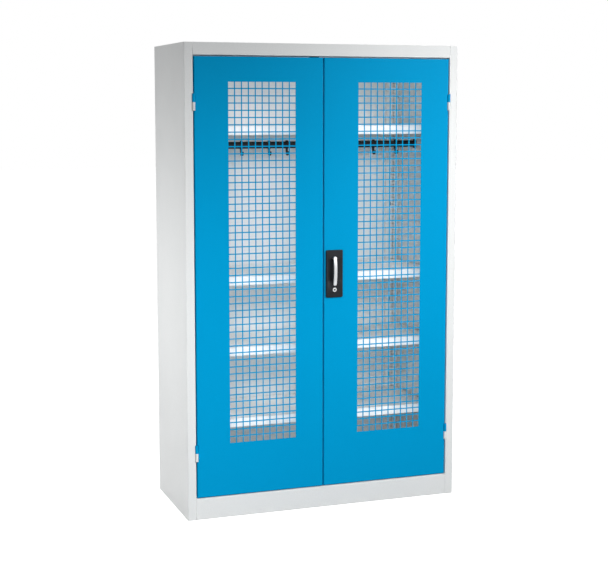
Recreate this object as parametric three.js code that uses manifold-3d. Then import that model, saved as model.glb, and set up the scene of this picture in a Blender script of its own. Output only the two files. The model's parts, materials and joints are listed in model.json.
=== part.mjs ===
// A free-standing steel cabinet with two hinged doors, each punched with a tall field of square holes.
// Behind the doors: four shelves on slotted uprights and a wardrobe rail with sliding hooks.
// Millimetres, +Z up. X runs across the front, the front faces -Y, and the origin lies on the floor
// under the middle of the whole, handle and hinges included.

import * as THREE from 'three';
import { mergeVertices } from 'three/addons/utils/BufferGeometryUtils.js';
import Module from 'manifold-3d';

const wasm = await Module();
wasm.setup();

// Driving dimensions of the carcass
const cabinetWidth = 1200;
const cabinetDepth = 500;
const cabinetHeight = 1950;
const carcassSheet = 1.5;
const headerHeight = 50.5;
const plinthHeight = 88.5;
const stileWidth = 36.3;
const liningInset = 57;

// Clearances: between touching pieces, round moving ones, and the overrun of every cut
const touch = 0.3;
const running = 0.5;
const freeHole = 1;
const overrun = 2;

// Folded edges of the carcass sheets
const stopDepth = 28;
const sideRearFlange = 40;
const headerFlange = 45;
const headerLip = 25;
const plinthFlange = 30;
const topSkirt = 20;

// Door leaves
const doorGap = 5;
const splitOffset = -8;
const leafSheet = 1.2;
const leafDepth = 25;
const leafLip = 15;

// Punched field: square holes, and the plain border left round them on each leaf
const holeSize = 24.5;
const holeWeb = 4.63;
const hairline = 0.3;
const fieldTopBorder = 99.8;
const fieldBottomBorder = 218.8;
const leftLeafBorders = { left: 140.5, right: 120.5 };
const rightLeafBorders = { left: 150.2, right: 123.9 };

// Hat-shaped stiffener behind a leaf
const stiffenerWidth = 40;
const stiffenerDepth = 19;
const stiffenerFoot = 12;
const stiffenerInset = 44;

// Lift-off hinges, each with a lower half on the frame and an upper half on the door
const hingeRadius = 6.25;
const hingeHalfHeight = 34;
const hingePinRadius = 3.5;
const hingePinHeight = 28;
const hingePlate = 1.5;
const hingePlateDepth = 22;
const hingeDrop = 182;
const hingeRise = 187;

// Handle plate, with a scooped recess behind the lever
const handleInset = 44;
const handleCentreHeight = 999.5;
const plateWidth = 74;
const plateHeight = 199;
const plateDepth = 9;
const plateCorner = 4;
const plateChamfer = 1.5;
const recessWidth = 62;
const recessHeight = 98;
const recessDepth = 6.5;
const recessRise = 16;

// Bowed lever
const leverLength = 124;
const leverWidth = 15;
const leverThickness = 6.5;
const leverBow = 8;
const leverPivotRise = 66;
const spindleSize = 8;

// Cam and lock rods
const rodTravel = 16;
const camThickness = 3;
const camStandOff = 6;
const camPinRadius = 2.2;
const camRim = 4.5;
const rodThickness = 3;
const rodWidth = 10;
const rodInset = 12;
const tabInset = 3;
const tabWall = 3.5;
const rodPlay = 0.6;
const rodGuideHeight = 20;
const rodGuideWall = 5;
const rodGuideInset = 110;
const keeperThickness = 2;
const keeperRim = 8;

// Lock cylinder below the lever
const lockFall = 67.5;
const lockRadius = 7.5;
const lockFlangeRadius = 8.75;
const lockFlangeThickness = 1.5;
const lockTongueLength = 18;
const lockTongueWidth = 8;
const lockTongueThickness = 2;
const keySlotWidth = 1.4;
const keySlotHeight = 7;
const keySlotDepth = 5;

// Magnetic catches that hold the leaf without a handle
const catchWidth = 40;
const catchDepth = 16;
const catchHeight = 14;
const catchInset = 10;

// Slotted uprights: every fifth slot of the row is cut
const uprightSheet = 1.5;
const slotPitch = 15;
const slotStep = 5;
const slotWidth = 6;
const slotHeight = 9;
const slotMargin = 45;
const rearUprightWidth = 63;
const rearUprightDepth = 12;
const rearSlotInset = 26;
const frontUprightWidth = 40;
const frontUprightReturn = 15;
const frontUprightDepth = 95;

// Shelves on side supports
const shelfSheet = 1.2;
const shelfLip = 38;
const shelfReturn = 12;
const shelfFront = 106;
const shelfTops = [1615, 990, 692, 388];
const supportSheet = 1.5;
const supportLeg = 20;
const supportEndGap = 4;

// Wardrobe rail, its end flanges and its hooks
const railHeight = 30;
const railWidth = 15;
const railWall = 1.5;
const railCentreHeight = 1530;
const railDepth = 298;
const railFlangeRim = 5;
const railFlangeThickness = 10;
const hooksFromLeftEnd = [270, 395, 476];
const hooksFromRightEnd = [205, 98];
const hookThickness = 10;
const hookLoopWall = 4.2;
const hookStemWidth = 6;
const hookDrop = 14;
const hookBendRadius = 9;
const hookTipRise = 7;

// Number of flat steps in a quarter of a round form
const quarterSteps = 4;

// Places worked out from the driving dimensions
const halfWidth = cabinetWidth / 2;
const skinInside = halfWidth - carcassSheet;
const stileEdge = halfWidth - stileWidth;
const betweenStiles = stileEdge - touch;
const liningFace = halfWidth - liningInset;
const rearSkinFace = cabinetDepth - carcassSheet;
const backPanelRear = rearSkinFace - touch;
const backPanelFront = backPanelRear - carcassSheet;
const interiorRear = backPanelFront - touch;
const floorUnderside = plinthHeight + touch;
const floorTop = floorUnderside + carcassSheet;
const interiorBottom = floorTop + touch;
const headerBottom = cabinetHeight - headerHeight;
const interiorTop = headerBottom - touch;
const uprightOutside = liningFace - touch;
const uprightInside = uprightOutside - uprightSheet;
const supportOutside = uprightInside - touch;
const supportInside = supportOutside - supportSheet;
const shelfSide = supportInside - touch;
const rearUprightFront = interiorRear - rearUprightDepth;
const shelfRear = rearUprightFront - touch;
const leafBottom = plinthHeight + doorGap;
const leafTop = headerBottom - doorGap;
const hingeAxis = stileEdge - doorGap / 2;
const leafHingeEdge = hingeAxis - doorGap / 2;
const leftLeafEdges = { left: -leafHingeEdge, right: splitOffset - doorGap / 2 };
const rightLeafEdges = { left: splitOffset + doorGap / 2, right: leafHingeEdge };
const upperHingeHeight = leafTop - hingeDrop;
const lowerHingeHeight = leafBottom + hingeRise;
const handleX = rightLeafEdges.left + handleInset;
const camFront = leafSheet + camStandOff;
const camRear = camFront + camThickness;
const rodFront = camRear + touch;
const rodRear = rodFront + rodThickness;
const camPinOrbit = rodTravel / Math.SQRT2;
const leverBack = -plateDepth - touch;
const leverFront = leverBack - leverBow - leverThickness;
const leverPivotHeight = handleCentreHeight + leverPivotRise;
const lockHeight = handleCentreHeight - lockFall;
const halfRail = { width: railWidth / 2, height: railHeight / 2 };
const hookPlaces = [
  ...hooksFromLeftEnd.map((reach) => reach - liningFace),
  ...hooksFromRightEnd.map((reach) => liningFace - reach),
];

// Materials
const greyPaint = new THREE.MeshStandardMaterial({ color: '#d5d8d8', roughness: 0.45, metalness: 0.1 });
const bluePaint = new THREE.MeshStandardMaterial({ color: '#0092d0', roughness: 0.4, metalness: 0.1 });
const blackPlastic = new THREE.MeshStandardMaterial({ color: '#1d1f20', roughness: 0.5, metalness: 0 });
const handlePlastic = new THREE.MeshStandardMaterial({ color: '#2c2e30', roughness: 0.35, metalness: 0 });
const silverCast = new THREE.MeshStandardMaterial({ color: '#dcdcdc', roughness: 0.3, metalness: 0.8 });
const zincSteel = new THREE.MeshStandardMaterial({ color: '#b4b7ba', roughness: 0.4, metalness: 0.9 });

// Solids: closed geometries become manifolds for joins and cuts, and come back as geometries
function solidOf(geometry) {
  const bare = geometry.clone();
  bare.deleteAttribute('normal');
  bare.deleteAttribute('uv');
  const merged = mergeVertices(bare);
  const vertProperties = merged.attributes.position.array;
  const triVerts = Uint32Array.from(merged.index.array);
  return new wasm.Manifold(new wasm.Mesh({ numProp: 3, vertProperties, triVerts }));
}

function geometryOf(solid) {
  const mesh = solid.getMesh();
  const geometry = new THREE.BufferGeometry();
  geometry.setAttribute('position', new THREE.BufferAttribute(mesh.vertProperties, 3));
  geometry.setIndex(new THREE.BufferAttribute(mesh.triVerts, 1));
  geometry.computeVertexNormals();
  return geometry;
}

// A block between two values on each axis
function block([x0, x1], [y0, y1], [z0, z1]) {
  const geometry = new THREE.BoxGeometry(x1 - x0, y1 - y0, z1 - z0);
  geometry.translate((x0 + x1) / 2, (y0 + y1) / 2, (z0 + z1) / 2);
  return solidOf(geometry);
}

// The range of a given half size either side of a centre, and the range between two places
function around(centre, half) {
  return [centre - half, centre + half];
}

function span(a, b) {
  return [Math.min(a, b), Math.max(a, b)];
}

function outline(points) {
  return new THREE.Shape(points.map(([u, v]) => new THREE.Vector2(u, v)));
}

// Extrusions along each axis; the outline's points are the other two places
function alongZ(shape, [z0, z1]) {
  const geometry = new THREE.ExtrudeGeometry(shape, { depth: z1 - z0, bevelEnabled: false });
  return solidOf(geometry.translate(0, 0, z0));
}

const toAcross = new THREE.Matrix4().makeBasis(
  new THREE.Vector3(0, 1, 0), new THREE.Vector3(0, 0, 1), new THREE.Vector3(1, 0, 0));
const toDepth = new THREE.Matrix4().makeBasis(
  new THREE.Vector3(1, 0, 0), new THREE.Vector3(0, 0, 1), new THREE.Vector3(0, -1, 0));

function alongX(shapeYZ, [x0, x1]) {
  const geometry = new THREE.ExtrudeGeometry(shapeYZ, { depth: x1 - x0, bevelEnabled: false });
  return solidOf(geometry.applyMatrix4(toAcross).translate(x0, 0, 0));
}

function alongY(shapeXZ, [y0, y1]) {
  const geometry = new THREE.ExtrudeGeometry(shapeXZ, { depth: y1 - y0, bevelEnabled: false });
  return solidOf(geometry.applyMatrix4(toDepth).translate(0, y1, 0));
}

// A round bar on an axis along Y or Z
function barAlongY(radius, [y0, y1], [x, z], sides) {
  const geometry = new THREE.CylinderGeometry(radius, radius, y1 - y0, sides);
  return solidOf(geometry.translate(x, (y0 + y1) / 2, z));
}

function barAlongZ(radius, [z0, z1], [x, y], sides) {
  const geometry = new THREE.CylinderGeometry(radius, radius, z1 - z0, sides).rotateX(Math.PI / 2);
  return solidOf(geometry.translate(x, y, (z0 + z1) / 2));
}

// Outline of a folded sheet: the path is its outer face, and the sheet lies on the path's right
function foldedSheet(path, thickness) {
  const directions = [];
  for (let i = 1; i < path.length; i += 1) {
    const run = new THREE.Vector2(path[i][0] - path[i - 1][0], path[i][1] - path[i - 1][1]);
    directions.push(run.normalize());
  }
  const inner = path.map(([u, v], i) => {
    const before = directions[Math.max(i - 1, 0)];
    const after = directions[Math.min(i, directions.length - 1)];
    const right = new THREE.Vector2(before.y + after.y, -before.x - after.x);
    right.multiplyScalar(thickness / (1 + before.dot(after)));
    return [u + right.x, v + right.y];
  });
  return outline([...path, ...inner.reverse()]);
}

// The same outline for the left side (-1) or the right side (+1) of the cabinet
function mirrored(path, side) {
  const placed = path.map(([u, v]) => [-side * u, v]);
  return side > 0 ? placed.reverse() : placed;
}

// An oval of given half sizes, as points
function oval(halfAcross, halfUp, centre = [0, 0]) {
  const points = [];
  const steps = 4 * quarterSteps;
  for (let i = 0; i < steps; i += 1) {
    const angle = (2 * Math.PI * i) / steps;
    points.push([centre[0] + halfAcross * Math.cos(angle), centre[1] + halfUp * Math.sin(angle)]);
  }
  return points;
}

function addPiece(group, name, shape, material, position = [0, 0, 0]) {
  const mesh = new THREE.Mesh(shape instanceof THREE.BufferGeometry ? shape : geometryOf(shape), material);
  mesh.name = name;
  mesh.position.set(...position);
  group.add(mesh);
}

// Carcass sheets
function sidePanel(side) {
  const stopEnd = stopDepth - touch;
  const path = [
    [-stileEdge, stopEnd],
    [-stileEdge, 0],
    [-halfWidth, 0],
    [-halfWidth, cabinetDepth],
    [sideRearFlange - halfWidth, cabinetDepth],
  ];
  let panel = alongZ(foldedSheet(mirrored(path, side), carcassSheet), [0, cabinetHeight]);
  const aboveDoor = block(
    span(side * (stileEdge - overrun), side * (stileEdge + carcassSheet + touch)),
    [carcassSheet, stopDepth],
    [headerBottom, cabinetHeight + overrun]);
  panel = panel.subtract(aboveDoor);
  for (const height of [upperHingeHeight, lowerHingeHeight]) {
    panel = panel.subtract(hingeNotch(side, height));
  }
  return panel;
}

// Room for a hinge barrel in the edges of the stile and the leaf
function hingeNotch(side, height) {
  const reach = hingeRadius + freeHole;
  const low = height - hingeHalfHeight - freeHole;
  const high = height + hingeHalfHeight + freeHole;
  return block(around(side * hingeAxis, reach), [-overrun, reach], [low, high]);
}

function lining(side) {
  const path = [
    [touch - skinInside, interiorRear],
    [-liningFace, interiorRear],
    [-liningFace, stopDepth],
    [touch - skinInside, stopDepth],
  ];
  return alongZ(foldedSheet(mirrored(path, side), carcassSheet), [interiorBottom, interiorTop]);
}

function backPanel() {
  const across = around(0, skinInside - touch);
  return block(across, [backPanelFront, backPanelRear], [0, cabinetHeight]);
}

function topPanel() {
  const half = skinInside - touch;
  const front = carcassSheet + touch;
  const tray = block(around(0, half), [front, interiorRear], [cabinetHeight - topSkirt, cabinetHeight]);
  const hollow = block(
    around(0, half - carcassSheet),
    [front + carcassSheet, interiorRear - carcassSheet],
    [cabinetHeight - topSkirt - overrun, cabinetHeight - carcassSheet]);
  return tray.subtract(hollow);
}

function headerRail() {
  const path = [
    [headerFlange, headerBottom + headerLip],
    [headerFlange, headerBottom],
    [0, headerBottom],
    [0, cabinetHeight],
  ];
  const rail = alongX(foldedSheet(path, carcassSheet), around(0, betweenStiles));
  return rail.subtract(rodOpening(1, headerBottom));
}

function floorPanel() {
  const sheet = block(
    around(0, betweenStiles), [carcassSheet + touch, interiorRear], [floorUnderside, floorTop]);
  return sheet.subtract(rodOpening(-1, floorUnderside));
}

// Plinths, folded from their outer face, front and rear
function frontPlinth() {
  const path = [
    [plinthFlange, 0],
    [0, 0],
    [0, plinthHeight],
    [plinthFlange, plinthHeight],
  ];
  const plinth = alongX(foldedSheet(path, carcassSheet), around(0, betweenStiles));
  return plinth.subtract(rodOpening(-1, plinthHeight));
}

function rearPlinth() {
  const path = [
    [interiorRear - plinthFlange, plinthHeight],
    [interiorRear, plinthHeight],
    [interiorRear, 0],
    [interiorRear - plinthFlange, 0],
  ];
  return alongX(foldedSheet(path, carcassSheet), around(0, betweenStiles));
}

// Slotted uprights: channels on the back panel, and angles on the lining in front
function cutSlots(upright, slotAt) {
  const first = interiorBottom + slotMargin;
  const last = interiorTop - slotMargin;
  let slotted = upright;
  for (let height = first; height < last; height += slotPitch * slotStep) {
    slotted = slotted.subtract(slotAt(around(height, slotHeight / 2)));
  }
  return slotted;
}

function rearUpright(side) {
  const path = [
    [rearUprightWidth - uprightOutside, interiorRear],
    [rearUprightWidth - uprightOutside, rearUprightFront],
    [-uprightOutside, rearUprightFront],
    [-uprightOutside, interiorRear],
  ];
  const profile = foldedSheet(mirrored(path, side), uprightSheet);
  const slotX = side * (uprightOutside - rearSlotInset);
  return cutSlots(alongZ(profile, [interiorBottom, interiorTop]), (rise) => block(
    around(slotX, slotWidth / 2), around(rearUprightFront, uprightSheet + overrun), rise));
}

function frontUpright(side) {
  const path = [
    [frontUprightReturn - uprightOutside, frontUprightDepth],
    [-uprightOutside, frontUprightDepth],
    [-uprightOutside, frontUprightDepth + frontUprightWidth],
  ];
  const profile = foldedSheet(mirrored(path, side), uprightSheet);
  const slotY = frontUprightDepth + frontUprightWidth / 2;
  const across = span(side * (uprightInside - overrun), side * (uprightOutside + overrun));
  return cutSlots(alongZ(profile, [interiorBottom, interiorTop]), (rise) => block(
    across, around(slotY, slotWidth / 2), rise));
}

// A shelf is a tray turned upside down, with its lips folded in at the bottom; its top is at zero
function shelf() {
  const tray = block(around(0, shelfSide), [shelfFront, shelfRear], [-shelfLip, 0]);
  const hollow = block(
    around(0, shelfSide - shelfSheet),
    [shelfFront + shelfSheet, shelfRear - shelfSheet],
    [shelfSheet - shelfLip, -shelfSheet]);
  const opening = block(
    around(0, shelfSide - shelfReturn),
    [shelfFront + shelfReturn, shelfRear - shelfReturn],
    [-shelfLip - overrun, -shelfLip / 2]);
  return tray.subtract(hollow).subtract(opening);
}

// An angle under each end of a shelf, from the front upright to the rear one
function shelfSupport(side) {
  const seat = -shelfLip - touch;
  const path = [
    [supportLeg - supportOutside, seat - supportSheet],
    [-supportOutside, seat - supportSheet],
    [-supportOutside, seat + supportLeg],
  ];
  const profile = foldedSheet(mirrored(path, side), supportSheet);
  return alongY(profile, [shelfFront + supportEndGap, shelfRear]);
}

// Wardrobe rail with a pocket flange at each end, and hooks that slide along it
function wardrobeRail() {
  const ring = outline(oval(halfRail.width, halfRail.height));
  ring.holes.push(outline(oval(halfRail.width - railWall, halfRail.height - railWall)));
  return alongX(ring, around(0, liningFace - 2 * touch));
}

function railFlange() {
  const ring = outline(oval(halfRail.width + railFlangeRim, halfRail.height + railFlangeRim));
  ring.holes.push(outline(oval(halfRail.width + touch, halfRail.height + touch)));
  return alongX(ring, around(0, railFlangeThickness / 2));
}

function hook() {
  const loopAcross = halfRail.width + running + hookLoopWall;
  const loopUp = halfRail.height + running + hookLoopWall;
  const loop = outline(oval(loopAcross, loopUp));
  loop.holes.push(outline(oval(halfRail.width + running, halfRail.height + running)));
  const stemTop = -halfRail.height - running - hookLoopWall / 2;
  const bendHeight = -loopUp - hookDrop;
  const bendCentre = -hookBendRadius;
  const halfStem = hookStemWidth / 2;
  const outer = [];
  const inner = [];
  const steps = 2 * quarterSteps;
  for (let i = 0; i <= steps; i += 1) {
    const angle = -(Math.PI * i) / steps;
    const ray = [Math.cos(angle), Math.sin(angle)];
    const far = hookBendRadius + halfStem;
    const near = hookBendRadius - halfStem;
    outer.push([bendCentre + far * ray[0], bendHeight + far * ray[1]]);
    inner.push([bendCentre + near * ray[0], bendHeight + near * ray[1]]);
  }
  const tip = bendHeight + hookTipRise;
  const jay = outline([
    [halfStem, stemTop],
    ...outer,
    [bendCentre - hookBendRadius - halfStem, tip],
    [bendCentre - hookBendRadius + halfStem, tip],
    ...inner.reverse(),
    [-halfStem, stemTop],
  ]);
  const across = around(0, hookThickness / 2);
  return alongX(loop, across).add(alongX(jay, across));
}

// Door leaf: a folded pan with a lip round its open back and the punched field in its face
function doorLeaf(edges, borders) {
  const depth = leafDepth - leafSheet;
  const pan = block([edges.left, edges.right], [0, leafDepth], [leafBottom, leafTop]);
  const hollow = block(
    [edges.left + leafSheet, edges.right - leafSheet],
    [leafSheet, depth],
    [leafBottom + leafSheet, leafTop - leafSheet]);
  const window = block(
    [edges.left + leafLip, edges.right - leafLip],
    [leafDepth / 2, leafDepth + overrun],
    [leafBottom + leafLip, leafTop - leafLip]);
  const side = edges.left < -cabinetWidth / 4 ? -1 : 1;
  let leaf = pan.subtract(hollow).subtract(window);
  for (const height of [upperHingeHeight, lowerHingeHeight]) {
    leaf = leaf.subtract(hingeNotch(side, height));
  }
  return punchField(leaf, edges, borders);
}

// The field of square holes. A hairline parts the sheet into two layers over the field, tall slots open
// the front layer and cross slots the rear one, and a square hole stands where each pair crosses.
// That keeps the whole pattern with few faces.
function punchField(leaf, edges, borders) {
  const pitch = holeSize + holeWeb;
  const room = {
    x: [edges.left + borders.left, edges.right - borders.right],
    z: [leafBottom + fieldBottomBorder, leafTop - fieldTopBorder],
  };
  const [columns, rows] = [room.x, room.z].map(([low, high]) => Math.floor((high - low + holeWeb) / pitch));
  const width = columns * pitch - holeWeb;
  const height = rows * pitch - holeWeb;
  const left = (room.x[0] + room.x[1] - width) / 2;
  const bottom = (room.z[0] + room.z[1] - height) / 2;
  const middle = leafSheet / 2;
  const past = holeWeb / 2;
  let punched = leaf.subtract(block(
    [left - past, left + width + past],
    around(middle, hairline / 2),
    [bottom - past, bottom + height + past]));
  for (let i = 0; i < columns; i += 1) {
    const start = left + i * pitch;
    punched = punched.subtract(
      block([start, start + holeSize], [-overrun, middle], [bottom, bottom + height]));
  }
  for (let i = 0; i < rows; i += 1) {
    const start = bottom + i * pitch;
    punched = punched.subtract(
      block([left, left + width], [middle, leafSheet + overrun], [start, start + holeSize]));
  }
  return punched;
}

// Openings in the right leaf for the spindle, the lock and the two rods
function cutForLock(leaf) {
  const wall = [-overrun, leafSheet + overrun];
  const spindle = barAlongY(spindleSize, wall, [handleX, leverPivotHeight], 4 * quarterSteps);
  const lock = barAlongY(lockRadius + freeHole, wall, [handleX, lockHeight], 4 * quarterSteps);
  return leaf.subtract(spindle).subtract(lock)
    .subtract(rodOpening(1, leafTop - leafSheet))
    .subtract(rodOpening(-1, leafBottom));
}

// Room for a rod through a sheet: the upper rod runs right of the spindle (1), the lower one left (-1)
function rodOpening(side, sheetHeight) {
  const across = around(handleX + side * (rodInset + rodWidth / 2), rodWidth / 2 + freeHole);
  return block(
    across, [rodFront - freeHole, rodRear + freeHole], [sheetHeight - overrun, sheetHeight + 2 * overrun]);
}

function doorStiffener(centre) {
  const half = stiffenerWidth / 2;
  const front = leafSheet + touch;
  const rear = front + stiffenerDepth;
  const path = [
    [centre + half + stiffenerFoot, front],
    [centre + half, front],
    [centre + half, rear],
    [centre - half, rear],
    [centre - half, front],
    [centre - half - stiffenerFoot, front],
  ];
  const inside = leafSheet + touch;
  return alongZ(foldedSheet(path, leafSheet), [leafBottom + inside, leafTop - inside]);
}

// Hinge halves: the lower one carries the pin, the upper one turns on it
function frameHinge(side) {
  const top = -touch / 2;
  const sides = 4 * quarterSteps;
  const barrel = barAlongZ(hingeRadius, [-hingeHalfHeight, top], [0, 0], sides);
  const pin = barAlongZ(hingePinRadius, [top - overrun, hingePinHeight], [0, 0], sides);
  const outside = stileEdge - touch - hingeAxis;
  return barrel.add(pin).add(hingeLeafPlate(side, outside - hingePlate, [-hingeHalfHeight, top]));
}

function doorHinge(side) {
  const bottom = touch / 2;
  const sides = 4 * quarterSteps;
  const barrel = barAlongZ(hingeRadius, [bottom, hingeHalfHeight], [0, 0], sides);
  const bore = barAlongZ(
    hingePinRadius + touch, [bottom - overrun, hingePinHeight + freeHole], [0, 0], sides);
  const outside = leafHingeEdge + touch - hingeAxis;
  const plate = hingeLeafPlate(side, outside, [bottom, hingeHalfHeight]);
  return barrel.add(plate).subtract(bore);
}

// The flat part of a hinge half, in the gap between the leaf and the stile
function hingeLeafPlate(side, outside, rise) {
  const across = span(side * outside, side * (outside + hingePlate));
  return block(across, [hingeRadius - hingePlate, hingePlateDepth], rise);
}

// Handle plate: a bevelled moulding with a scoop behind the lever
function handlePlate() {
  const half = { x: plateWidth / 2 - plateChamfer, z: plateHeight / 2 - plateChamfer };
  const shape = roundedOutline(half.x, half.z, plateCorner);
  const geometry = new THREE.ExtrudeGeometry(shape, {
    depth: plateDepth,
    bevelThickness: plateChamfer,
    bevelSize: plateChamfer,
    bevelSegments: 1,
    curveSegments: quarterSteps,
  });
  geometry.applyMatrix4(toDepth).translate(handleX, plateChamfer, handleCentreHeight);
  const behind = block(
    around(handleX, plateWidth), [-touch, plateDepth], around(handleCentreHeight, plateHeight));
  const scoopRadius = ((recessWidth / 2) ** 2 + recessDepth ** 2) / (2 * recessDepth);
  const recess = around(handleCentreHeight + recessRise, recessHeight / 2);
  const scoop = barAlongZ(
    scoopRadius, recess, [handleX, recessDepth - plateDepth - scoopRadius], 32 * quarterSteps);
  const through = [-plateDepth - overrun, overrun];
  const spindleHole = barAlongY(spindleSize, through, [handleX, leverPivotHeight], 4 * quarterSteps);
  const lockHole = barAlongY(lockRadius + touch, through, [handleX, lockHeight], 4 * quarterSteps);
  return solidOf(geometry).subtract(behind).subtract(scoop).subtract(spindleHole).subtract(lockHole);
}

function roundedOutline(halfX, halfZ, radius) {
  const shape = new THREE.Shape();
  shape.moveTo(halfX, radius - halfZ);
  shape.absarc(halfX - radius, halfZ - radius, radius, 0, Math.PI / 2);
  shape.absarc(radius - halfX, halfZ - radius, radius, Math.PI / 2, Math.PI);
  shape.absarc(radius - halfX, radius - halfZ, radius, Math.PI, 1.5 * Math.PI);
  shape.absarc(halfX - radius, radius - halfZ, radius, 1.5 * Math.PI, 2 * Math.PI);
  return shape;
}

// Lever: a bowed strip with round ends, its upper end over the spindle
function lever() {
  const steps = 4 * quarterSteps;
  const front = [];
  const back = [];
  const halfLength = leverLength / 2;
  for (let i = 0; i <= steps; i += 1) {
    const share = (2 * i) / steps - 1;
    const bow = leverBow * (1 - share ** 2);
    front.push([leverBack - leverThickness - bow, share * halfLength]);
    back.push([leverBack - bow, share * halfLength]);
  }
  const strip = alongX(outline([...front, ...back.reverse()]), around(0, leverWidth));
  const rounded = new THREE.ExtrudeGeometry(
    roundedOutline(leverWidth / 2, halfLength, leverWidth / 2),
    { depth: -leverFront, bevelEnabled: false, curveSegments: quarterSteps });
  return strip.intersect(solidOf(rounded.applyMatrix4(toDepth)));
}

function leverSpindle() {
  const half = spindleSize / 2;
  return block(around(handleX, half), [leverBack + touch, camRear], around(leverPivotHeight, half));
}

// Cam disc with two pins that move the rods
function rodCam() {
  const rim = camPinOrbit + camPinRadius + camRim;
  const centre = [handleX, leverPivotHeight];
  let cam = barAlongY(rim, [camFront, camRear], centre, 8 * quarterSteps);
  for (const side of [-1, 1]) {
    const reach = camPinOrbit / Math.SQRT2;
    const place = [handleX + side * reach, leverPivotHeight - side * reach];
    cam = cam.add(barAlongY(camPinRadius, [camRear - touch, rodRear + touch], place, 3 * quarterSteps));
  }
  const socket = spindleSize / 2 + touch;
  return cam.subtract(block(
    around(handleX, socket), [camFront - overrun, camRear + overrun], around(leverPivotHeight, socket)));
}

// A lock rod: a flat bar with a slotted tab over its cam pin, drawn in at rest
function lockRod(side, end) {
  const pinReach = camPinOrbit / Math.SQRT2;
  const pinHeight = leverPivotHeight - side * pinReach;
  const slotHalf = camPinRadius + rodPlay;
  const tab = pinHeight + side * (slotHalf + tabWall);
  const foot = pinHeight - side * (slotHalf + tabWall);
  const bar = outline([
    [handleX + side * tabInset, foot],
    [handleX + side * (rodInset + rodWidth), foot],
    [handleX + side * (rodInset + rodWidth), end],
    [handleX + side * rodInset, end],
    [handleX + side * rodInset, tab],
    [handleX + side * tabInset, tab],
  ]);
  const slot = span(handleX + side * (pinReach - slotHalf), handleX + side * (camPinOrbit + slotHalf));
  return alongY(bar, [rodFront, rodRear]).subtract(
    block(slot, [rodFront - overrun, rodRear + overrun], around(pinHeight, slotHalf)));
}

function rodGuide(side, height) {
  const centre = handleX + side * (rodInset + rodWidth / 2);
  const half = rodWidth / 2 + running;
  const rise = around(height, rodGuideHeight / 2);
  const body = block(
    around(centre, half + rodGuideWall), [leafSheet + touch, rodRear + running + leafSheet], rise);
  return body.subtract(block(
    around(centre, half), [rodFront - running, rodRear + running], around(height, rodGuideHeight)));
}

// Plates that the rods' ends enter, above the header's flange and under the plinth's
function rodKeeper(side, seat) {
  const centre = handleX + side * (rodInset + rodWidth / 2);
  const middle = (rodFront + rodRear) / 2;
  const half = { x: rodWidth / 2 + keeperRim, y: rodThickness / 2 + keeperRim };
  const rise = side > 0 ? [seat, seat + keeperThickness] : [seat - keeperThickness, seat];
  return block(around(centre, half.x), around(middle, half.y), rise).subtract(rodOpening(side, rise[0]));
}

// Lock cylinder with its key slot in front and its tongue behind
function lockCylinder() {
  const face = -plateDepth - touch - lockFlangeThickness;
  const seat = -plateDepth - touch;
  const tongueRear = camRear;
  const tongueFront = tongueRear - lockTongueThickness;
  const centre = [handleX, lockHeight];
  const sides = 6 * quarterSteps;
  const flange = barAlongY(lockFlangeRadius, [face, seat], centre, sides);
  const barrel = barAlongY(lockRadius, [seat - touch, tongueRear], centre, sides);
  const tongue = block(
    around(handleX, lockTongueWidth / 2),
    [tongueFront, tongueRear],
    [lockHeight, lockHeight + lockTongueLength]);
  const key = block(
    around(handleX, keySlotWidth / 2), [face - overrun, face + keySlotDepth],
    around(lockHeight, keySlotHeight / 2));
  return flange.add(barrel).add(tongue).subtract(key);
}

function magneticCatch() {
  const right = leftLeafEdges.right - catchInset;
  return block([right - catchWidth, right], [leafDepth + touch, leafDepth + touch + catchDepth],
    [0, catchHeight]);
}

// Assembly
const sides = [['left', -1], ['right', 1]];
const cabinet = new THREE.Group();
const carcass = new THREE.Group();
const leftDoor = new THREE.Group();
const rightDoor = new THREE.Group();
cabinet.add(carcass, leftDoor, rightDoor);

for (const [word, side] of sides) {
  addPiece(carcass, `${word}_side_panel`, sidePanel(side), greyPaint);
  addPiece(carcass, `${word}_lining`, lining(side), greyPaint);
  addPiece(carcass, `rear_${word}_upright`, rearUpright(side), greyPaint);
  addPiece(carcass, `front_${word}_upright`, frontUpright(side), greyPaint);
}
addPiece(carcass, 'back_panel', backPanel(), greyPaint);
addPiece(carcass, 'top_panel', topPanel(), greyPaint);
addPiece(carcass, 'header_rail', headerRail(), greyPaint);
addPiece(carcass, 'floor_panel', floorPanel(), greyPaint);
addPiece(carcass, 'front_plinth', frontPlinth(), greyPaint);
addPiece(carcass, 'rear_plinth', rearPlinth(), greyPaint);

shelfTops.forEach((top, i) => {
  addPiece(carcass, `shelf_${i + 1}`, shelf(), greyPaint, [0, 0, top]);
  for (const [word, side] of sides) {
    addPiece(carcass, `shelf_${i + 1}_${word}_support`, shelfSupport(side), zincSteel, [0, 0, top]);
  }
});

addPiece(carcass, 'wardrobe_rail', wardrobeRail(), blackPlastic, [0, railDepth, railCentreHeight]);
for (const [word, side] of sides) {
  const x = side * (liningFace - touch - railFlangeThickness / 2);
  addPiece(carcass, `${word}_rail_flange`, railFlange(), blackPlastic, [x, railDepth, railCentreHeight]);
}
hookPlaces.forEach((x, i) => {
  addPiece(carcass, `hook_${i + 1}`, hook(), blackPlastic, [x, railDepth, railCentreHeight]);
});

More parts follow.
